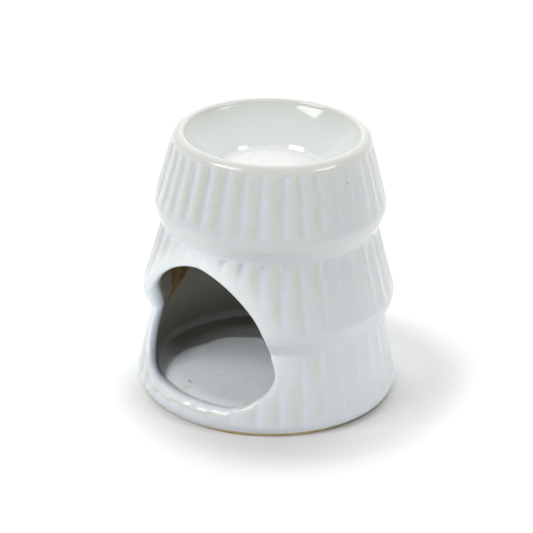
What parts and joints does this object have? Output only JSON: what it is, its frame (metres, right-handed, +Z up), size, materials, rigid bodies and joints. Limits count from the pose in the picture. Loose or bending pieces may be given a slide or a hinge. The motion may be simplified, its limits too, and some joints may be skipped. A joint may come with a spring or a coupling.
{
  "type": "oil burner",
  "caption": "White glazed stoneware oil burner shaped as a fluted, tiered tree, with a shallow oil dish on top and an arched door to the tealight chamber.",
  "frame": {"origin": "centre of the foot, on the surface that the burner stands on", "axes": "+Z up along the burner's axis, -Y out through the door, +X to the right of someone facing the door"},
  "size_m": [0.098, 0.098, 0.1014],
  "materials": {
    "white_glaze": "glossy white glaze, cream where it breaks thin on edges and ridges, faintly blue where it pools",
    "dish_glaze": "smooth glossy white glaze",
    "bare_clay": "dry unglazed ochre stoneware"
  },
  "bodies": {
    "root": {"foot_ring": "bare_clay", "lower_tier": "white_glaze", "chamber_floor": "white_glaze", "middle_tier": "white_glaze", "top_tier": "white_glaze", "oil_dish": "dish_glaze"}
  },
  "joints": []
}
